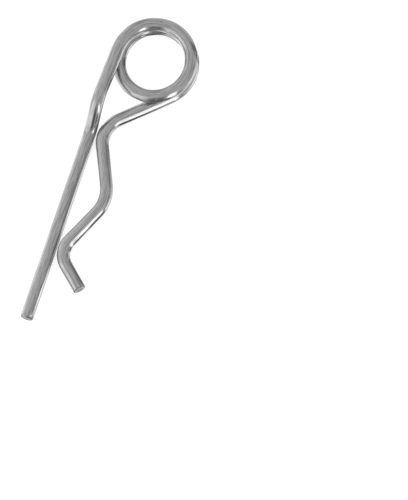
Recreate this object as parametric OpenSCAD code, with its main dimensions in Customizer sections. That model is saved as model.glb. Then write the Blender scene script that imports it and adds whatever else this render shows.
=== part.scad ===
// Double-coil R clip bent from one length of round spring wire.
// The straight leg goes through a cross-hole in a shaft, and the spring leg snaps over the shaft's side.
// Frame: the shaft's axis is the Z axis, the straight leg lies on the X axis with its tip towards +X,
// the coil is towards -X and bulges to +Y, and the clip lies flat with +Z up.

/* [Wire] */
// Diameter of the wire
wire_d = 5; // [4:0.1:5.6]
// Edge rounding of the straight leg's dressed tip
tip_round = 0.8; // [0.4:0.1:1.8]
// Edge rounding of the spring leg's cut end
tail_round = 0.5; // [0.3:0.1:1.8]

/* [Straight leg] */
// Straight length from the tip to the step
leg_length = 71; // [64:0.5:90]
// Slope of the step that lifts the wire on to the top of the coil
step_angle = 48; // [40:1:60]
// Bend radius of the step, on the wire's centre line
step_bend_r = 8.5; // [6:0.5:9.5]
// Angle by which the step leans towards the coil's side
step_lean = 5; // [0:0.5:8]
// Straight length from the step to the coil
neck_length = 17.3; // [16:0.1:24]
// Set that turns the neck towards the coil's side
neck_set = 2.1; // [0.5:0.1:4]

/* [Double coil] */
// Inside diameter of the coil
coil_inner_d = 21.8; // [20:0.1:26]
// Gap between the coil's turns
coil_gap = 0.2; // [0.2:0.05:1]
// How much larger the coil's radius is where the wire enters it
coil_lead_in = 0.6; // [0.4:0.1:1]

/* [Spring leg] */
// Diameter of the shaft that the clip is made for
shaft_d = 22; // [21:0.5:26]
// Angle to the straight leg at which the wire leaves the coil
approach_angle = 48.5; // [46:0.5:52]
// Slope at which the spring leg rises from the plane that the clip lies on
spring_rise = 2.4; // [2:0.1:3]
// Bend radius from the coil's slope to that rise, on the wire's centre line
rise_bend_r = 100; // [90:5:150]
// Bend radius of the throat, the hump where the spring leg first comes to the straight leg
throat_bend_r = 10; // [7:0.1:11]
// Gap between the throat and the straight leg, seen from above
throat_gap = 0.4; // [0.4:0.05:1.5]
// Slope from the throat up to the seat
seat_in_angle = 24; // [21:0.5:28]
// Slope from the seat down to the mouth
seat_out_angle = 24.5; // [21:0.5:28]
// Bend radius of the mouth, the hump that the shaft is pushed past
mouth_bend_r = 8.4; // [6:0.1:11]
// Gap between the mouth and the straight leg, seen from above
mouth_gap = 0.55; // [0.4:0.05:1.5]
// Angle at which the end flares away from the straight leg
flare_angle = 46.5; // [35:0.5:60]
// Straight length of the flared end
flare_length = 10.6; // [6:0.1:16]

/* [Hidden] */
$fn = 64;

// Sides of a bend, turned about the wire from its upper side
up = 0;
right = 90;
down = 180;
left = 270;

wire_r = wire_d / 2;
coil_r = (coil_inner_d + wire_d) / 2;
coil_start_r = coil_r + coil_lead_in;

// The coil is one and a half turns plus the approach, wound clockwise and falling by one pitch a turn.
// It is made of equal arcs, each rolled a little against the last, whose ends lie on one cylinder.
coil_turns = 1.5;
arc_target = 45;
lead_arcs = 2;
coil_pitch = wire_d + coil_gap;
coil_turn = 360 * coil_turns + approach_angle - neck_set;
coil_arcs = round(coil_turn / arc_target);
arc_turn = coil_turn / coil_arcs;
arc_fall = coil_pitch * arc_turn / 360;
arc_chord = norm([2 * coil_r * sin(arc_turn / 2), arc_fall]);
arc_roll = 2 * asin(arc_fall * sin(arc_turn / 2) / arc_chord);
arc_angle = 2 * acos(cos(arc_turn / 2) / cos(arc_roll / 2));
arc_r = arc_chord / 2 / sin(arc_angle / 2);
// Slope of the wire at the arcs' ends
coil_slope = asin(cos(arc_angle / 2) * sin(arc_roll / 2) / sin(arc_turn / 2));
// The first arcs are the same ones on a larger cylinder.
lead_scale = coil_start_r / coil_r;
coil_fall = arc_fall * (coil_arcs + lead_arcs * (lead_scale - 1));

// The step lifts the wire so that, past the neck, the coil and the gentle bend below it, the spring
// leg's lowest point is level with the straight leg.
step_rise = coil_fall + neck_length * sin(coil_slope)
    + (step_bend_r + rise_bend_r) * (1 - cos(coil_slope));
step_height = step_rise / cos(step_lean);
step_flank = (step_height - 2 * step_bend_r * (1 - cos(step_angle))) / sin(step_angle);

// The neck's end, the coil's centre and the coil's end, seen from above: the distance along the
// straight leg from its tip, and the offset from the leg's axis to the coil's side.
neck_reach = step_bend_r * sin(coil_slope) + neck_length * cos(coil_slope);
neck_along = leg_length + 2 * step_bend_r * sin(step_angle) + step_flank * cos(step_angle)
    + step_bend_r * sin(neck_set) + neck_reach * cos(neck_set);
neck_offset = step_height * sin(step_lean)
    + step_bend_r * (1 - cos(neck_set)) + neck_reach * sin(neck_set);
lead_end = neck_set + lead_arcs * arc_turn;
coil_along = neck_along - coil_start_r * sin(neck_set) + coil_lead_in * sin(lead_end);
coil_offset = neck_offset + coil_start_r * cos(neck_set) - coil_lead_in * cos(lead_end);
exit_along = coil_along - coil_r * sin(approach_angle);
exit_offset = coil_offset + coil_r * cos(approach_angle);

// The spring leg: the throat and the mouth keep their gaps to the straight leg, and the seat follows
// the shaft. The leg's rise is slight enough to leave out of these lengths.
seat_r = (shaft_d + wire_d) / 2;
throat_offset = wire_d + throat_gap;
mouth_offset = wire_d + mouth_gap;
rise_reach = rise_bend_r * (sin(coil_slope) + sin(spring_rise));
throat_length = (exit_offset - throat_offset - throat_bend_r * (1 - cos(approach_angle)))
    / sin(approach_angle) - rise_reach;
seat_in_length = (seat_r - throat_offset - (throat_bend_r + seat_r) * (1 - cos(seat_in_angle)))
    / sin(seat_in_angle);
seat_out_length = (seat_r - mouth_offset - (mouth_bend_r + seat_r) * (1 - cos(seat_out_angle)))
    / sin(seat_out_angle);

// Distance from the tip to the shaft's axis
seat_along = exit_along - (rise_reach + throat_length) * cos(approach_angle)
    - throat_bend_r * (sin(approach_angle) + sin(seat_in_angle))
    - seat_in_length * cos(seat_in_angle) - seat_r * sin(seat_in_angle);

// The wire as it is formed, from the end of the straight leg on: each operation feeds a straight
// length, then bends the wire to a radius by an angle towards one of its sides.
function operation(feed, radius, angle, side) = [feed, radius, angle, side];

function winding(first, last, radius) = [
    for (i = [first : last]) operation(0, radius, arc_angle, right + (i + 0.5) * arc_roll)
];

// The wire's upper side turns about it on the way round the coil.
coil_twist = coil_arcs * arc_roll;

operations = concat(
    [
        operation(0, step_bend_r, step_angle, up + step_lean),
        operation(step_flank, step_bend_r, step_angle, down + step_lean),
        operation(0, step_bend_r, neck_set, right),
        operation(0, step_bend_r, coil_slope, down),
        operation(neck_length, coil_start_r, 0, right)
    ],
    winding(0, lead_arcs - 1, arc_r * lead_scale),
    winding(lead_arcs, coil_arcs - 1, arc_r),
    [
        operation(0, rise_bend_r, coil_slope + spring_rise, up + coil_twist),
        operation(throat_length, throat_bend_r, approach_angle + seat_in_angle, left + coil_twist),
        operation(seat_in_length, seat_r, seat_in_angle + seat_out_angle, right + coil_twist),
        operation(seat_out_length, mouth_bend_r, seat_out_angle + flare_angle, left + coil_twist),
        operation(flare_length - tail_round, mouth_bend_r, 0, left)
    ]
);

// Places on the wire are frames: +Z along the wire and +X to the side that is its upper one at first.
function shift(v) = [[1, 0, 0, v.x], [0, 1, 0, v.y], [0, 0, 1, v.z], [0, 0, 0, 1]];
function turn_z(a) = [[cos(a), -sin(a), 0, 0], [sin(a), cos(a), 0, 0], [0, 0, 1, 0], [0, 0, 0, 1]];
function turn_y(a) = [[cos(a), 0, sin(a), 0], [0, 1, 0, 0], [-sin(a), 0, cos(a), 0], [0, 0, 0, 1]];
function bent(r, a, side) = turn_z(side) * shift([r, 0, 0]) * turn_y(a) * shift([-r, 0, 0]) * turn_z(-side);

bend_facet = 8;
function facets(angle) = max(1, ceil(angle / bend_facet));

// Frames along the wire from operation i on, at the end of each straight length and along each bend
function places(i, start) = i == len(operations) ? [] :
    let (
        op = operations[i],
        bend_start = start * shift([0, 0, op[0]]),
        n = facets(op[2]),
        straight = op[0] > 0 ? [bend_start] : [],
        bend = op[2] > 0 ? [for (k = [1 : n]) bend_start * bent(op[1], op[2] * k / n, op[3])] : [],
        end = op[2] > 0 ? bend[n - 1] : bend_start
    )
    concat(straight, bend, places(i + 1, end));

wire_sides = 24;
function ring(place, r) = [
    for (k = [0 : wire_sides - 1])
        let (a = 360 * (k + 0.5) / wire_sides, p = place * [r * cos(a), r * sin(a), 0, 1])
        [p.x, p.y, p.z]
];

// Faces of a skin over rings of points, closed at both ends
function skin_faces(rings) = concat(
    [[for (k = [0 : wire_sides - 1]) k]],
    [
        for (j = [0 : rings - 2], k = [0 : wire_sides - 1])
            let (a = j * wire_sides, b = a + wire_sides, n = (k + 1) % wire_sides)
            each [[a + k, b + k, b + n], [a + k, b + n, a + n]]
    ],
    [[for (k = [wire_sides - 1 : -1 : 0]) (rings - 1) * wire_sides + k]]
);

// The formed wire starts as a taper inside the straight leg, which comes out just round the leg's end,
// and it ends with the tail's rounded edge.
root_depth = 0.6;
root_taper = 0.2;
root_play = 0.005;
tail_facets = 4;

module formed_wire() {
    wire = places(0, shift([0, 0, 0]));
    tail = wire[len(wire) - 1];
    rings = concat(
        [ring(shift([0, 0, -root_depth]), wire_r - root_taper)],
        [ring(shift([0, 0, 0]), (wire_r + root_play) / cos(180 / wire_sides))],
        [for (place = wire) ring(place, wire_r)],
        [
            for (k = [1 : tail_facets])
                let (a = 90 * k / tail_facets)
                ring(tail * shift([0, 0, tail_round * sin(a)]), wire_r - tail_round * (1 - cos(a)))
        ]
    );
    polyhedron(points = [for (r = rings) each r], faces = skin_faces(len(rings)), convexity = 10);
}

module straight_leg() {
    cylinder(r = wire_r, h = leg_length - tip_round);
    translate([0, 0, leg_length - tip_round]) rotate_extrude() {
        square([wire_r - tip_round, tip_round]);
        translate([wire_r - tip_round, 0]) intersection() {
            circle(r = tip_round);
            square(tip_round);
        }
    }
}

module r_clip() {
    color("silver") translate([seat_along - leg_length, 0, 0]) {
        rotate([0, 90, 0]) straight_leg();
        rotate([0, -90, 0]) formed_wire();
    }
}

r_clip();
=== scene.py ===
# Dresses a double-coil R clip, bent from one bright round spring wire, over its CAD solid.
# Everything is in metres in the CAD frame: the straight leg lies on X, the clip lies flat, Z is up.
import math
import bpy
import numpy as np
from mathutils import Matrix, Vector


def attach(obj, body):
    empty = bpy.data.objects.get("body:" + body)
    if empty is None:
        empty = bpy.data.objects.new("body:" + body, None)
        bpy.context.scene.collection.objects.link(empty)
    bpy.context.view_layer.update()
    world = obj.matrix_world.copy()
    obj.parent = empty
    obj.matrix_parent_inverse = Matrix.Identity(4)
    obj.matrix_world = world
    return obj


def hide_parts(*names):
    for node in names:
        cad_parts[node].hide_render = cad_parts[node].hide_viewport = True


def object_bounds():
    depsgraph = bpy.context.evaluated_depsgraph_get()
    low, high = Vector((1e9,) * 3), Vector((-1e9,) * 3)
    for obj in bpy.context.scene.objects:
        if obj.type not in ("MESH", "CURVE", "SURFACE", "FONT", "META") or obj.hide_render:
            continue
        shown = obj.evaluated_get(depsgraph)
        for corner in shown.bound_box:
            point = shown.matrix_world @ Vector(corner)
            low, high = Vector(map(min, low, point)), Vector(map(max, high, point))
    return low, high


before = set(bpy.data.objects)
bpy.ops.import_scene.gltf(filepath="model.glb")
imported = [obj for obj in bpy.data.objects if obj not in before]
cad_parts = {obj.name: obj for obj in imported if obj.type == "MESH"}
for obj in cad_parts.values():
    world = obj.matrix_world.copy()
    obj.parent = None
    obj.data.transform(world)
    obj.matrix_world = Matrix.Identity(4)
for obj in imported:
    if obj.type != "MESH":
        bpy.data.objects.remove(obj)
cadLow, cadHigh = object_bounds()
print("frame loaded:", sorted(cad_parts))

mm = 0.001

# Lengths in millimetres and angles in degrees, as the part's source names them
clip = {
    "wireDiameter": 5.0,
    "tipRound": 0.8,          # edge radius of the straight leg's tip
    "tailRound": 0.5,         # edge radius of the spring leg's cut end
    "legLength": 71.0,
    "stepAngle": 48.0,
    "stepRadius": 8.5,
    "stepLean": 5.0,
    "neckLength": 17.3,
    "neckSet": 2.1,
    "coilInside": 21.8,
    "coilGap": 0.2,
    "coilLeadIn": 0.6,        # extra radius over the coil's first arcs
    "coilTurns": 1.5,
    "coilArcs": 13,
    "leadArcs": 2,
    "shaft": 22.0,            # the shaft that the seat is bent for
    "approachAngle": 48.5,
    "springRise": 2.4,
    "riseRadius": 100.0,
    "throatRadius": 10.0,
    "throatGap": 0.4,
    "seatInAngle": 24.0,
    "seatOutAngle": 24.5,
    "mouthRadius": 8.4,
    "mouthGap": 0.55,
    "flareAngle": 46.5,
    "flareLength": 10.6,
    "ringSpacing": 0.55,      # along the wire, in bends
    "straightSpacing": 1.5,   # along the wire, in straight lengths
    "sides": 96,              # round the wire
    "capRings": 9,            # over each rounded edge
    "capShares": (0.8, 0.5, 0.2),   # and on each flat end, as shares of its radius
    "tipClear": 0.2,          # least distance from the tip's rounding to the leg's next ring
    "edgeStart": 0.3,         # how much a rounded edge counts as cut face where it starts
}


# Sine and cosine of degrees
def sinOf(angle):
    return math.sin(math.radians(angle))


def cosOf(angle):
    return math.cos(math.radians(angle))


# The coil as equal arcs, each rolled against the last, whose ends lie on one helix of radius R:
# chord = |2R sin(turn/2), fall|, sin(roll/2) = fall sin(turn/2) / chord,
# cos(angle/2) = cos(turn/2) / cos(roll/2), arc radius = chord / (2 sin(angle/2))
def coilArc(part):
    radius = (part["coilInside"] + part["wireDiameter"]) / 2
    turn = (360 * part["coilTurns"] + part["approachAngle"] - part["neckSet"]) / part["coilArcs"]
    fall = (part["wireDiameter"] + part["coilGap"]) * turn / 360
    halfSin, halfCos = sinOf(turn / 2), cosOf(turn / 2)
    chord = math.hypot(2 * radius * halfSin, fall)
    roll = 2 * math.degrees(math.asin(fall * halfSin / chord))
    angle = 2 * math.degrees(math.acos(halfCos / cosOf(roll / 2)))
    return {
        "radius": radius,
        "turn": turn,
        "fall": fall,
        "roll": roll,
        "angle": angle,
        "arcRadius": chord / 2 / sinOf(angle / 2),
        "slope": math.degrees(math.asin(cosOf(angle / 2) * sinOf(roll / 2) / halfSin)),
        "leadScale": (radius + part["coilLeadIn"]) / radius,
    }


# Every operation that forms the wire: (feed, bend radius, bend angle, side that it bends to),
# and the distance from the tip to the shaft's axis. Side 0 is the wire's upper side, 90 its right.
def formingSteps(part):
    arc = coilArc(part)
    slope, rise, lean = arc["slope"], part["springRise"], part["stepLean"]
    approach, seatIn, seatOut = part["approachAngle"], part["seatInAngle"], part["seatOutAngle"]
    startRadius = arc["radius"] + part["coilLeadIn"]
    coilFall = arc["fall"] * (part["coilArcs"] + part["leadArcs"] * (arc["leadScale"] - 1))

    # the step up from the straight leg to the top of the coil
    stepRadius, stepAngle, neckSet = part["stepRadius"], part["stepAngle"], part["neckSet"]
    climb = coilFall + part["neckLength"] * sinOf(slope)
    climb += (stepRadius + part["riseRadius"]) * (1 - cosOf(slope))
    height = climb / cosOf(lean)
    flank = (height - 2 * stepRadius * (1 - cosOf(stepAngle))) / sinOf(stepAngle)

    # where the neck, the coil and the spring leg come, seen from above
    neckReach = stepRadius * sinOf(slope) + part["neckLength"] * cosOf(slope)
    neckAlong = part["legLength"] + 2 * stepRadius * sinOf(stepAngle) + flank * cosOf(stepAngle)
    neckAlong += stepRadius * sinOf(neckSet) + neckReach * cosOf(neckSet)
    neckOffset = height * sinOf(lean) + stepRadius * (1 - cosOf(neckSet))
    neckOffset += neckReach * sinOf(neckSet)
    leadEnd = neckSet + part["leadArcs"] * arc["turn"]
    coilAlong = neckAlong - startRadius * sinOf(neckSet) + part["coilLeadIn"] * sinOf(leadEnd)
    coilOffset = neckOffset + startRadius * cosOf(neckSet) - part["coilLeadIn"] * cosOf(leadEnd)
    exitAlong = coilAlong - arc["radius"] * sinOf(approach)
    exitOffset = coilOffset + arc["radius"] * cosOf(approach)

    # the straights between the throat, the seat and the mouth
    seatRadius = (part["shaft"] + part["wireDiameter"]) / 2
    throatOffset = part["wireDiameter"] + part["throatGap"]
    mouthOffset = part["wireDiameter"] + part["mouthGap"]
    throatRadius, mouthRadius = part["throatRadius"], part["mouthRadius"]
    riseReach = part["riseRadius"] * (sinOf(slope) + sinOf(rise))
    toThroat = exitOffset - throatOffset - throatRadius * (1 - cosOf(approach))
    toThroat = toThroat / sinOf(approach) - riseReach
    toSeat = seatRadius - throatOffset - (throatRadius + seatRadius) * (1 - cosOf(seatIn))
    toSeat = toSeat / sinOf(seatIn)
    toMouth = seatRadius - mouthOffset - (mouthRadius + seatRadius) * (1 - cosOf(seatOut))
    toMouth = toMouth / sinOf(seatOut)
    seatAlong = exitAlong - (riseReach + toThroat) * cosOf(approach)
    seatAlong -= throatRadius * (sinOf(approach) + sinOf(seatIn))
    seatAlong -= toSeat * cosOf(seatIn) + seatRadius * sinOf(seatIn)

    twist = part["coilArcs"] * arc["roll"]
    up, right, down, left = 0, 90, 180, 270
    steps = [
        (part["legLength"], 0, 0, up),
        (0, stepRadius, stepAngle, up + lean),
        (flank, stepRadius, stepAngle, down + lean),
        (0, stepRadius, neckSet, right),
        (0, stepRadius, slope, down),
        (part["neckLength"], 0, 0, right),
    ]
    for i in range(part["coilArcs"]):
        scale = arc["leadScale"] if i < part["leadArcs"] else 1
        steps.append((0, arc["arcRadius"] * scale, arc["angle"], right + (i + 0.5) * arc["roll"]))
    steps += [
        (0, part["riseRadius"], slope + rise, up + twist),
        (toThroat, throatRadius, approach + seatIn, left + twist),
        (toSeat, seatRadius, seatIn + seatOut, right + twist),
        (toMouth, mouthRadius, seatOut + part["flareAngle"], left + twist),
        (part["flareLength"] - part["tailRound"], 0, 0, left),
    ]
    return steps, seatAlong


# A turn about the wire's own axis, as a 4 by 4 matrix
def rolled(angle):
    turn = np.eye(4)
    turn[:2, :2] = [[cosOf(angle), -sinOf(angle)], [sinOf(angle), cosOf(angle)]]
    return turn


# Places on a straight length: P(t) = Z-shift by t, for an array of distances t
def straightPlaces(distances):
    places = np.tile(np.eye(4), (len(distances), 1, 1))
    places[:, 2, 3] = distances
    return places


# Places on a bend: P(t) = Roll(side) [turn by t about the axis at x = R] Roll(-side), t an array
def bendPlaces(radius, turns, side):
    places = np.tile(np.eye(4), (len(turns), 1, 1))
    places[:, 0, 0] = places[:, 2, 2] = np.cos(turns)
    places[:, 0, 2] = np.sin(turns)
    places[:, 2, 0] = -np.sin(turns)
    places[:, 0, 3] = radius * (1 - np.cos(turns))
    places[:, 2, 3] = radius * np.sin(turns)
    return rolled(side) @ places @ rolled(-side)


# The whole route: frames, distance along the wire, and curvature towards each bend's centre
def wireRoute(part):
    steps, seatAlong = formingSteps(part)
    place = np.array([[0, 0, -1, seatAlong], [0, 1, 0, 0], [1, 0, 0, 0], [0, 0, 0, 1]], float)
    frames, along, curl = [place[None]], [np.zeros(1)], [np.zeros((1, 3))]
    done = 0.0
    for feed, radius, angle, side in steps:
        if feed > 0:
            count = max(1, math.ceil(feed / part["straightSpacing"]))
            t = feed * np.arange(1, count + 1) / count
            frames.append(place @ straightPlaces(t))
            along.append(done + t)
            curl.append(np.zeros((count, 3)))
            place, done = frames[-1][-1], done + feed
        if angle > 0:
            length = radius * math.radians(angle)
            count = max(2, math.ceil(length / part["ringSpacing"]))
            t = np.arange(1, count + 1) / count
            frames.append(place @ bendPlaces(radius, math.radians(angle) * t, side))
            along.append(done + length * t)
            towards = frames[-1][:, :3, 0] * cosOf(side) + frames[-1][:, :3, 1] * sinOf(side)
            curl.append(towards / radius)
            place, done = frames[-1][-1], done + length
    return np.concatenate(frames), np.concatenate(along), np.concatenate(curl)


# Adds the dressed ends to the route: over a quarter circle the ring's radius is
# r - e (1 - cos q) at a distance e sin q past the edge's start; the flat end goes on to the middle.
def endProfile(radius, edge, rings, shares):
    q = np.radians(np.linspace(0, 90, rings + 1)[1:])
    reach = edge * np.sin(q)
    size = radius - edge * (1 - np.cos(q))
    inner = (radius - edge) * np.array(shares)
    return np.append(reach, np.full(len(shares), edge)), np.append(size, inner)


# A ring point is centre + radius (cos a U + sin a V), U and V the frame's first two axes
def wireSurface(part):
    frames, along, curl = wireRoute(part)
    radius = part["wireDiameter"] / 2
    caps = part["capRings"], part["capShares"]
    tipReach, tipSize = endProfile(radius, part["tipRound"], *caps)
    tailReach, tailSize = endProfile(radius, part["tailRound"], *caps)
    # the leg's length includes its rounded tip, the spring leg's route stops where its edge starts
    keep = along > part["tipRound"] + part["tipClear"]
    keep[0] = False
    tipFrames = frames[0] @ straightPlaces(part["tipRound"] - np.append(0, tipReach))[::-1]
    tailFrames = frames[-1] @ straightPlaces(tailReach)
    frames = np.concatenate([tipFrames, frames[keep], tailFrames])
    sizes = np.concatenate([tipSize[::-1], [radius], np.full(keep.sum(), radius), tailSize])
    curl = np.concatenate([
        np.zeros((len(tipFrames), 3)), curl[keep], np.zeros((len(tailFrames), 3))
    ])
    along = np.concatenate([
        part["tipRound"] - np.append(0, tipReach)[::-1], along[keep], along[-1] + tailReach
    ])
    a = 2 * np.pi * np.arange(part["sides"]) / part["sides"]
    across, aside = frames[:, None, :3, 0], frames[:, None, :3, 1]
    normals = across * np.cos(a)[:, None] + aside * np.sin(a)[:, None]
    points = frames[:, None, :3, 3] + sizes[:, None, None] * normals
    return frames, sizes, along, curl, a, normals, points


# A closed skin over rings of points: quads between rings, a fan to a middle point at each end
def skinFaces(rings, sides):
    i = np.arange(rings - 1)[:, None] * sides
    k = np.arange(sides)[None, :]
    n = (k + 1) % sides
    quads = np.stack([i + k, i + sides + k, i + sides + n, i + n], -1).reshape(-1, 4)
    first, last = rings * sides, rings * sides + 1
    j = np.arange(sides)
    m = (j + 1) % sides
    startFan = np.stack([np.full(sides, first), j, m], -1)
    endFan = np.stack([np.full(sides, last), (rings - 1) * sides + m, (rings - 1) * sides + j], -1)
    return quads.tolist() + startFan.tolist() + endFan.tolist()


# Writes one value or vector for each vertex, by name, for the material to read
def paint(mesh, name, values):
    kind, field = ("FLOAT", "value") if values.ndim == 1 else ("FLOAT_VECTOR", "vector")
    layer = mesh.attributes.new(name, kind, "POINT")
    layer.data.foreach_set(field, values.astype(np.float32).ravel())


def makeWire(part):
    frames, sizes, along, curl, a, normals, points = wireSurface(part)
    rings, sides = points.shape[:2]
    middles = frames[[0, -1], :3, 3]
    vertices = np.concatenate([points.reshape(-1, 3), middles]) * mm
    mesh = bpy.data.meshes.new("springWire")
    mesh.from_pydata(vertices.tolist(), [], skinFaces(rings, sides))
    mesh.polygons.foreach_set("use_smooth", np.ones(len(mesh.polygons), bool))

    # wirePlace: across the wire in X and Y, along it in Z, in millimetres
    place = np.stack([
        sizes[:, None] * np.cos(a),
        sizes[:, None] * np.sin(a),
        np.broadcast_to(along[:, None], (rings, sides)),
    ], -1).reshape(-1, 3)
    paint(mesh, "wirePlace", np.concatenate([place, [[0, 0, along[0]], [0, 0, along[-1]]]]))

    # bendSide: the wire's strain, +1 on the inside of a bend as tight as the mouth, -1 outside
    bendSide = np.einsum("rsk,rk->rs", normals, curl) * part["mouthRadius"]
    paint(mesh, "bendSide", np.append(bendSide.ravel(), [0, 0]))

    # endFace: 1 on the cut faces, falling to edgeStart over their rounded edges, and 0 elsewhere
    smallest = sizes[[0, -1]].min()
    share = 1 - (sizes - smallest) / (sizes.max() - smallest)
    edge = np.clip(np.where(sizes < sizes.max(), part["edgeStart"] + share, 0), 0, 1)
    edge = np.broadcast_to(edge[:, None], (rings, sides)).ravel()
    paint(mesh, "endFace", np.append(edge, [1, 1]))
    mesh.update()
    piece = bpy.data.objects.new("clipWire", mesh)
    bpy.context.scene.collection.objects.link(piece)
    return piece


# Links by name, so a material reads as a list of joins
def join(tree, fromNode, fromSocket, toNode, toSocket):
    tree.links.new(fromNode.outputs[fromSocket], toNode.inputs[toSocket])


def addNode(tree, kind, **settings):
    node = tree.nodes.new(kind)
    for name, value in settings.items():
        if name in node.inputs:
            node.inputs[name].default_value = value
        else:
            setattr(node, name, value)
    return node


# Gives a socket a plain number, or a link from another node's output
def setSocket(tree, value, socket):
    if isinstance(value, (int, float)):
        socket.default_value = value
    else:
        tree.links.new(value, socket)


def addMath(tree, operation, first, second=0.0):
    node = addNode(tree, "ShaderNodeMath", operation=operation)
    setSocket(tree, first, node.inputs[0])
    setSocket(tree, second, node.inputs[1])
    return node.outputs["Value"]


# A smooth step of the value: one level up to the start, the other from the stop on
def addSoftStep(tree, value, start, stop, atStart, atStop):
    node = addNode(tree, "ShaderNodeMapRange", interpolation_type="SMOOTHSTEP")
    names = ("Value", "From Min", "From Max", "To Min", "To Max")
    for name, given in zip(names, (value, start, stop, atStart, atStop)):
        setSocket(tree, given, node.inputs[name])
    return node.outputs["Result"]


# One colour mixed with the next by a share, held between 0 and 1
def addMix(tree, share, first, second):
    node = addNode(tree, "ShaderNodeMix", data_type="RGBA", clamp_factor=True)
    for socket, value in zip((node.inputs[0], node.inputs[6], node.inputs[7]),
                             (share, first, second)):
        if isinstance(value, tuple):
            socket.default_value = value
        else:
            tree.links.new(value, socket)
    return node.outputs[2]


# A node group with number inputs, a vector input if it is named, and number outputs
def addGroup(name, vector, numbers, results):
    group = bpy.data.node_groups.new(name, "ShaderNodeTree")
    if vector:
        group.interface.new_socket(name=vector, in_out="INPUT", socket_type="NodeSocketVector")
    for number in numbers:
        group.interface.new_socket(name=number, in_out="INPUT", socket_type="NodeSocketFloat")
    for result in results:
        group.interface.new_socket(name=result, in_out="OUTPUT", socket_type="NodeSocketFloat")
    return group, group.nodes.new("NodeGroupInput"), group.nodes.new("NodeGroupOutput")


drawing = {
    "perMm": 1.6,              # scale of the wide lines across the wire
    "alongShare": 0.03,        # how much of the distance along the wire the lines see
    "scoreWidth": 0.03,
    "fineScale": 4.0,          # scale of the fine lines, times the wide ones'
    "wideShare": 0.25,
    "fineShare": 0.75,
    "scorePerMm": 0.9,
    "scoreAlongShare": 0.008,
    "fadePerMm": 0.5,          # of the noise that breaks the scores up
    "fadeAlongShare": 0.12,
    "fadeStart": 0.42,
    "fadeStop": 0.58,
}


# Lines left by drawing the wire, from noise stretched along it: place = (x, y, z * along share),
# lines = wide share * wide noise + fine share * fine noise, scores = 1 on thin lines where slow
# noise crosses its middle value, faded in and out along the wire
def drawnLinesGroup(look):
    names = ("Per Millimetre", "Along Share", "Score Width")
    group, start, end = addGroup("drawnLines", "Place", names, ("Lines", "Scores"))
    parts = addNode(group, "ShaderNodeSeparateXYZ")
    join(group, start, "Place", parts, "Vector")
    perMm, alongShare, scoreWidth = (start.outputs[name] for name in names)

    def stretchedNoise(share, scale, **settings):
        spot = addNode(group, "ShaderNodeCombineXYZ")
        join(group, parts, "X", spot, "X")
        join(group, parts, "Y", spot, "Y")
        setSocket(group, addMath(group, "MULTIPLY", parts.outputs["Z"], share), spot.inputs["Z"])
        noise = addNode(group, "ShaderNodeTexNoise", **settings)
        join(group, spot, "Vector", noise, "Vector")
        setSocket(group, scale, noise.inputs["Scale"])
        return noise.outputs["Fac"]

    wide = stretchedNoise(alongShare, perMm, Detail=2.0, Roughness=0.6)
    fineScale = addMath(group, "MULTIPLY", perMm, look["fineScale"])
    fine = stretchedNoise(alongShare, fineScale, Detail=3.0, Roughness=0.7)
    both = addMath(group, "ADD", addMath(group, "MULTIPLY", wide, look["wideShare"]),
                   addMath(group, "MULTIPLY", fine, look["fineShare"]))
    setSocket(group, both, end.inputs["Lines"])

    slow = stretchedNoise(look["scoreAlongShare"], look["scorePerMm"], Detail=0.0)
    away = addMath(group, "ABSOLUTE", addMath(group, "SUBTRACT", slow, 0.5))
    near = addSoftStep(group, away, 0.0, scoreWidth, 1.0, 0.0)
    fading = stretchedNoise(look["fadeAlongShare"], look["fadePerMm"], Detail=1.0)
    present = addSoftStep(group, fading, look["fadeStart"], look["fadeStop"], 0.0, 1.0)
    setSocket(group, addMath(group, "MULTIPLY", near, present), end.inputs["Scores"])
    return group


dieWear = {
    "wanderPerMm": 0.03,
    "wanderShift": 90.0,       # between the noises of one mark and the next, in millimetres
    "fadePerMm": 0.06,
    "fadeShift": 37.0,
    "fadeStart": 0.35,
    "fadeStop": 0.60,
}

# angle round the wire, half width in degrees, wander in degrees, strength
dieMarks = (
    (18, 8, 8, 0.50),
    (37, 6, 8, 0.20),
    (-9, 7, 10, 0.45),
    (96, 9, 12, 0.35),
    (150, 9, 16, 0.60),
    (-140, 9, 16, 0.60),
)


# A line that a worn die draws along the wire at one angle round it, wandering a little:
# away = |angle + wander * (slow noise - 0.5) - mark angle|,
# mark = 1 at the line, 0 at its half width, times a share that fades in and out along the wire
def dieMarkGroup(look):
    names = ("Mark Angle", "Half Width", "Wander", "Seed")
    group, start, end = addGroup("dieMark", "Place", names, ("Mark",))
    parts = addNode(group, "ShaderNodeSeparateXYZ")
    join(group, start, "Place", parts, "Vector")
    markAngle, halfWidth, wander, seed = (start.outputs[name] for name in names)

    def noiseAlong(perMm, shift):
        noise = addNode(
            group, "ShaderNodeTexNoise", noise_dimensions="1D", Scale=perMm, Detail=1.0)
        shifted = addMath(group, "MULTIPLY", seed, shift)
        setSocket(group, addMath(group, "ADD", parts.outputs["Z"], shifted), noise.inputs["W"])
        return noise.outputs["Fac"]

    angle = addMath(group, "ARCTAN2", parts.outputs["Y"], parts.outputs["X"])
    angle = addMath(group, "DEGREES", angle)
    swing = noiseAlong(look["wanderPerMm"], look["wanderShift"])
    drift = addMath(group, "MULTIPLY", addMath(group, "SUBTRACT", swing, 0.5), wander)
    away = addMath(group, "SUBTRACT", addMath(group, "ADD", angle, drift), markAngle)
    near = addSoftStep(group, addMath(group, "ABSOLUTE", away), 0.0, halfWidth, 1.0, 0.0)
    fading = noiseAlong(look["fadePerMm"], look["fadeShift"])
    present = addSoftStep(group, fading, look["fadeStart"], look["fadeStop"], 0.0, 1.0)
    setSocket(group, addMath(group, "MULTIPLY", near, present), end.inputs["Mark"])
    return group


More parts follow.
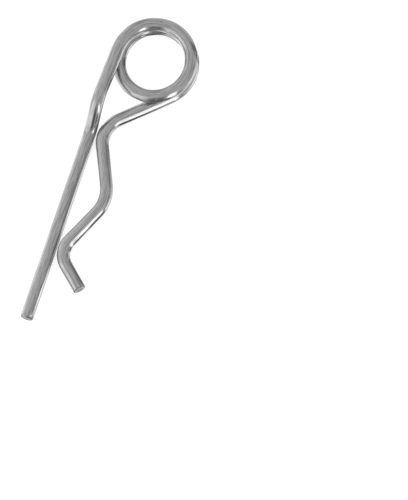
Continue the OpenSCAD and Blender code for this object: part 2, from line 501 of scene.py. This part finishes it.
finish = {
    "baseColor": (0.62, 0.62, 0.623, 1.0),
    "dullColor": (0.37, 0.37, 0.374, 1.0),    # in the scores, marks and deepest drawn lines
    "endSteelAndShadeColor": (0.24, 0.24, 0.243, 1.0),     # bare sheared steel of the cut faces, partly painted shade
    "dullStart": 0.25,         # how much of the dull colour is everywhere
    "lineShare": 7.0,          # how strongly the drawn lines mix it in
    "scoreShare": 1.0,         # and how strongly the scores do
    "roughness": 0.16,
    "lineRoughness": 0.10,     # how much the drawn lines change the roughness
    "lineHeight": 0.005,       # bump of the drawn lines, in millimetres
    "scoreHeight": -0.006,     # and of the scores
    "endRoughness": 0.22,      # added on the cut faces
    "bendRoughness": 0.04,     # added where a bend stretched the skin
}


# dull = dull start + line share * (lines - 0.5) + score share * scores + strength * each die mark,
# colour = base mixed with the dull colour by dull, then with the end colour by end face, partly
# bare cut steel and partly painted shade;
# roughness = base + line part * 2 (lines - 0.5) + end part * end face + bend part * |bend side|;
# height = line height * lines + score height * scores
def makeFinish(look, lineLook, markLook, marks):
    material = bpy.data.materials.new("brightSpringWire")
    material.use_nodes = True
    tree = material.node_tree
    tree.nodes.clear()
    output = addNode(tree, "ShaderNodeOutputMaterial")
    shader = addNode(tree, "ShaderNodeBsdfPrincipled", Metallic=1.0)
    join(tree, shader, "BSDF", output, "Surface")
    place = addNode(tree, "ShaderNodeAttribute", attribute_name="wirePlace")
    bend = addNode(tree, "ShaderNodeAttribute", attribute_name="bendSide")
    end = addNode(tree, "ShaderNodeAttribute", attribute_name="endFace")
    drawn = addNode(tree, "ShaderNodeGroup")
    drawn.node_tree = drawnLinesGroup(lineLook)
    for name, key in (("Per Millimetre", "perMm"), ("Along Share", "alongShare"),
                      ("Score Width", "scoreWidth")):
        drawn.inputs[name].default_value = lineLook[key]
    join(tree, place, "Vector", drawn, "Place")
    lines, scores = drawn.outputs["Lines"], drawn.outputs["Scores"]
    swing = addMath(tree, "SUBTRACT", lines, 0.5)

    dull = addMath(tree, "MULTIPLY", swing, look["lineShare"])
    dull = addMath(tree, "ADD", dull, look["dullStart"])
    dull = addMath(tree, "ADD", dull, addMath(tree, "MULTIPLY", scores, look["scoreShare"]))
    markGroup = dieMarkGroup(markLook)
    for seed, (angle, halfWidth, wander, strength) in enumerate(marks):
        mark = addNode(tree, "ShaderNodeGroup")
        mark.node_tree = markGroup
        join(tree, place, "Vector", mark, "Place")
        for name, value in (("Mark Angle", angle), ("Half Width", halfWidth),
                            ("Wander", wander), ("Seed", seed)):
            mark.inputs[name].default_value = value
        marked = addMath(tree, "MULTIPLY", mark.outputs["Mark"], strength)
        dull = addMath(tree, "ADD", dull, marked)
    color = addMix(tree, dull, look["baseColor"], look["dullColor"])
    # the cut faces and their rounded edges take the end colour: partly bare steel, partly painted
    # shade
    color = addMix(tree, end.outputs["Fac"], color, look["endSteelAndShadeColor"])
    tree.links.new(color, shader.inputs["Base Color"])

    spread = addMath(tree, "MULTIPLY", swing, look["lineRoughness"] * 2)
    ends = addMath(tree, "MULTIPLY", end.outputs["Fac"], look["endRoughness"])
    bent = addMath(tree, "ABSOLUTE", bend.outputs["Fac"])
    bent = addMath(tree, "MULTIPLY", bent, look["bendRoughness"])
    total = addMath(tree, "ADD", addMath(tree, "ADD", spread, ends),
                    addMath(tree, "ADD", bent, look["roughness"]))
    tree.links.new(total, shader.inputs["Roughness"])

    height = addMath(tree, "ADD", addMath(tree, "MULTIPLY", lines, look["lineHeight"]),
                     addMath(tree, "MULTIPLY", scores, look["scoreHeight"]))
    bump = addNode(tree, "ShaderNodeBump", Strength=1.0, Distance=mm)
    tree.links.new(height, bump.inputs["Height"])
    join(tree, bump, "Normal", shader, "Normal")
    return material


clipWire = makeWire(clip)
clipWire.data.materials.append(makeFinish(finish, drawing, dieWear, dieMarks))
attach(clipWire, "root")
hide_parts("r_clip")
print("wire made:", len(clipWire.data.polygons), "faces")

studio = {
    "floorSize": 6.0,
    "floorLift": 0.005 * mm,    # from the solid's lowest corner up to the smooth wire's underside
    "floorColor": (0.86, 0.86, 0.86, 1.0),
    "floorGlow": 0.62,
    "matteRoughness": 0.9,
}


def makeMatte(name, color, glow):
    material = bpy.data.materials.new(name)
    material.use_nodes = True
    shader = material.node_tree.nodes["Principled BSDF"]
    shader.inputs["Base Color"].default_value = color
    shader.inputs["Roughness"].default_value = studio["matteRoughness"]
    shader.inputs["Specular IOR Level"].default_value = 0.0
    shader.inputs["Emission Color"].default_value = (1, 1, 1, 1)
    shader.inputs["Emission Strength"].default_value = glow
    return material


# One flat face through four corners
def makeFlat(name, corners, material):
    mesh = bpy.data.meshes.new(name)
    mesh.from_pydata(corners, [], [(0, 1, 2, 3)])
    flat = bpy.data.objects.new(name, mesh)
    bpy.context.scene.collection.objects.link(flat)
    flat.data.materials.append(material)
    return flat


# A square of the given size, level, with its middle on the Z axis
def makeFloor(look, level):
    half = look["floorSize"] / 2
    corners = [(-half, -half, level), (half, -half, level), (half, half, level),
               (-half, half, level)]
    material = makeMatte("paleFloor", look["floorColor"], look["floorGlow"])
    return makeFlat("floor", corners, material)


floor = makeFloor(studio, cadLow.z + studio["floorLift"])
floor.visible_glossy = False    # the wire reflects the room's pale table in its place

# The room that the wire reflects: its level falls from the pale table to the walls as a smooth
# step of the elevation, and soft panels mix in their own level inside a window of azimuth and
# elevation.
room = {
    "wallLevel": 0.57,
    "tableLevel": 1.34,
    "tableRise": (-50, 16),     # elevations between which the table turns into wall
    "backdrop": 0.93,           # the same room where the camera sees it
}

# centre azimuth, half width, side feather, bottom, top, edge feather, level
panels = {
    "sideLight": (-100, 34, 12, 4, 44, 14, 0.74),
    "highWall": (-130, 14, 12, 46, 75, 10, 0.66),
    "cornerShade": (-147, 5, 8, 4, 40, 14, 0.44),
    "legLight": (-102.5, 3, 7, -22, -20, 55, 1.24),
    "leftTable": (-121, 7, 7, -60, -16, 22, 1.50),
    "tableShade": (17, 57, 18, -48, -14, 20, 0.57),
    "nearShade": (-32, 16, 10, -50, -8, 16, 0.70),
    "fillLight": (-40, 24, 12, -8, 30, 30, 1.12),
    "darkGap": (12, 9, 15, -62, 20, 30, 0.17),
    "farFloor": (148, 34, 18, -36, -12, 30, 0.64),
    "farTable": (102, 20, 20, -90, -14, 20, 0.94),
    "tableRim": (95, 9, 10, -34, -22, 12, 1.38),
    "lampSide": (54, 4, 7, -32, -4, 10, 0.28),
    "wallShade": (112, 30, 16, 8, 26, 14, 0.56),
    "wallLine": (107.5, 3.5, 3, 13, 21, 9, 0.18),
    "doorShade": (132, 5, 6, 12, 28, 9, 0.24),
    "edgeShade": (84, 10, 10, -2, 8, 10, 0.50),
    "backShade": (158, 14, 10, 18, 48, 8, 0.45),
}


# share = a window that fades over the feathers, in azimuth by the distance from the centre and
# in elevation past the bottom and the top; level = level + share * (panel level - level)
def softPanelGroup():
    names = ("Azimuth", "Elevation", "Level", "Centre", "Half Width", "Side Feather",
             "Bottom", "Top", "Edge Feather", "Panel Level")
    group, start, end = addGroup("softPanel", None, names, ("Level",))
    ins = start.outputs
    wrap = addNode(group, "ShaderNodeMath", operation="WRAP")
    setSocket(group, addMath(group, "SUBTRACT", ins["Azimuth"], ins["Centre"]), wrap.inputs[0])
    wrap.inputs[1].default_value, wrap.inputs[2].default_value = 180, -180
    away = addMath(group, "ABSOLUTE", wrap.outputs[0])
    outer = addMath(group, "ADD", ins["Half Width"], ins["Side Feather"])
    below = addMath(group, "SUBTRACT", ins["Bottom"], ins["Edge Feather"])
    above = addMath(group, "ADD", ins["Top"], ins["Edge Feather"])
    sideShare = addSoftStep(group, away, ins["Half Width"], outer, 1.0, 0.0)
    lowShare = addSoftStep(group, ins["Elevation"], below, ins["Bottom"], 0.0, 1.0)
    highShare = addSoftStep(group, ins["Elevation"], ins["Top"], above, 1.0, 0.0)
    share = addMath(group, "MULTIPLY", lowShare, highShare)
    share = addMath(group, "MULTIPLY", sideShare, share)
    change = addMath(group, "SUBTRACT", ins["Panel Level"], ins["Level"])
    level = addMath(group, "ADD", ins["Level"], addMath(group, "MULTIPLY", change, share))
    setSocket(group, level, end.inputs["Level"])
    return group


def makeRoom(look, softPanels):
    world = bpy.data.worlds.new("room")
    bpy.context.scene.world = world
    world.use_nodes = True
    tree = world.node_tree
    tree.nodes.clear()
    output = addNode(tree, "ShaderNodeOutputWorld")
    background = addNode(tree, "ShaderNodeBackground")
    direction = addNode(tree, "ShaderNodeTexCoord")
    parts = addNode(tree, "ShaderNodeSeparateXYZ")
    join(tree, direction, "Generated", parts, "Vector")
    azimuth = addMath(tree, "ARCTAN2", parts.outputs["Y"], parts.outputs["X"])
    azimuth = addMath(tree, "DEGREES", azimuth)
    elevation = addMath(tree, "DEGREES", addMath(tree, "ARCSINE", parts.outputs["Z"]))
    level = addSoftStep(tree, elevation, *look["tableRise"], look["tableLevel"], look["wallLevel"])
    group = softPanelGroup()
    for name, values in softPanels.items():
        panel = addNode(tree, "ShaderNodeGroup", label=name)
        panel.node_tree = group
        tree.links.new(azimuth, panel.inputs["Azimuth"])
        tree.links.new(elevation, panel.inputs["Elevation"])
        tree.links.new(level, panel.inputs["Level"])
        for socket, value in zip(list(panel.inputs)[3:], values):
            socket.default_value = value
        level = panel.outputs["Level"]
    path = addNode(tree, "ShaderNodeLightPath")
    seen = addNode(tree, "ShaderNodeMix")
    join(tree, path, "Is Camera Ray", seen, 0)
    tree.links.new(level, seen.inputs[2])
    seen.inputs[3].default_value = look["backdrop"]
    tree.links.new(seen.outputs[0], background.inputs["Color"])
    join(tree, background, "Background", output, "Surface")


makeRoom(room, panels)

# place, target, width, height, power, whether the wire reflects it, whether it lights the floor:
# strip lights beside the clip, which only show in the wire, and a wide light for the floor
lamps = {
    "stripLight": (
        (0.0257, 0.0877, 0.019), (-0.0468, 0.0188, 0.019), 0.0312, 0.062, 0.0106, True, False),
    "lowStrip": (
        (0.018, 0.0955, -0.026), (-0.0545, 0.0266, -0.026), 0.014, 0.028, 0.00215, True, False),
    "farStrip": (
        (0.060, 0.112, 0.093), (-0.064, 0.006, 0.093), 0.028, 0.054, 0.0062, True, False),
    "overheadLight": (
        (-0.1, 0.1, 1.6), (0.0, 0.0, 0.0), 2.2, 2.2, 8.0, False, True),
}


# An area lamp at its place that faces its target and doesn't show to the camera
def addLamp(name, place, target, width, height, power, glossy, diffuse):
    light = bpy.data.lights.new(name, "AREA")
    light.shape = "RECTANGLE"
    light.size, light.size_y = width, height
    light.energy = power
    lamp = bpy.data.objects.new(name, light)
    bpy.context.scene.collection.objects.link(lamp)
    offset = Vector(target) - Vector(place)
    lamp.location = place
    lamp.rotation_euler = offset.to_track_quat("-Z", "Y").to_euler()
    lamp.visible_camera = False
    lamp.visible_glossy = glossy
    lamp.visible_diffuse = diffuse


for name, values in lamps.items():
    addLamp(name, *values)

# upright glowing cards, seen only in the wire, that give painted dark and grey reflections: from
# corner to corner, bottom, top, level
cards = {
    "underStripCard": ((0.031, 0.084), (0.042, 0.072), -0.120, -0.012, 0.10),
    "mouthCard": ((0.0055, 0.0434), (0.0195, 0.0418), -0.038, 0.000, 0.14),
    "tipCard": ((0.030, 0.036), (0.042, 0.035), -0.004, 0.060, 0.50),
    "tipLine": ((0.030, 0.0357), (0.042, 0.0347), 0.0095, 0.025, 0.37),
    "lowDarkCard": ((-0.141, 0.086), (-0.111, 0.1135), -0.080, -0.007, 0.08),
    "highDarkCard": ((-0.145, 0.081), (-0.127, 0.100), -0.007, 0.095, 0.24),
}


# An upright rectangle over the line from start to end, which glows evenly at its level as a painted
# reflection in the wire
def makeCard(name, start, end, bottom, top, level):
    corners = [(*start, bottom), (*end, bottom), (*end, top), (*start, top)]
    card = makeFlat(name, corners, makeMatte(name, (0, 0, 0, 1), level))
    card.visible_camera = card.visible_diffuse = card.visible_shadow = False


for name, values in cards.items():
    makeCard(name, *values)

# The camera's turns bring the part's axes to its own, then it backs off along its own +Z
view = {
    "tilt": -16.622,
    "pan": -6.592,
    "spin": -108.366,
    "lens": 1200.0,
    "scale": 2726.821,                      # pixels for each metre at the clip
    "imageSize": (408, 500),
    "anchor": (-0.050028, 0.0134, 0.0),     # this place on the clip comes at this pixel
    "anchorPixel": (147.579, 75.089),
    "nearFar": (0.01, 100.0),               # distances between which things are drawn
}


def aimCamera(aim):
    turn = Matrix.Rotation(math.radians(aim["tilt"]), 3, "X")
    turn = turn @ Matrix.Rotation(math.radians(aim["pan"]), 3, "Y")
    turn = turn @ Matrix.Rotation(math.radians(aim["spin"]), 3, "Z")
    right, up, back = turn[0], turn[1], turn[2]
    width, height = aim["imageSize"]
    data = bpy.data.cameras.new("camera")
    data.lens = aim["lens"]
    distance = data.lens / data.sensor_width * max(width, height) / aim["scale"]
    camera = bpy.data.objects.new("camera", data)
    bpy.context.scene.collection.objects.link(camera)
    centre = Vector(aim["anchor"])
    centre += right * ((width / 2 - aim["anchorPixel"][0]) / aim["scale"])
    centre -= up * ((height / 2 - aim["anchorPixel"][1]) / aim["scale"])
    camera.matrix_world = Matrix.Translation(centre + back * distance) @ turn.transposed().to_4x4()
    data.clip_start, data.clip_end = aim["nearFar"]
    bpy.context.scene.camera = camera


aimCamera(view)
bpy.context.scene.view_settings.view_transform = "Standard"
print("stage set")
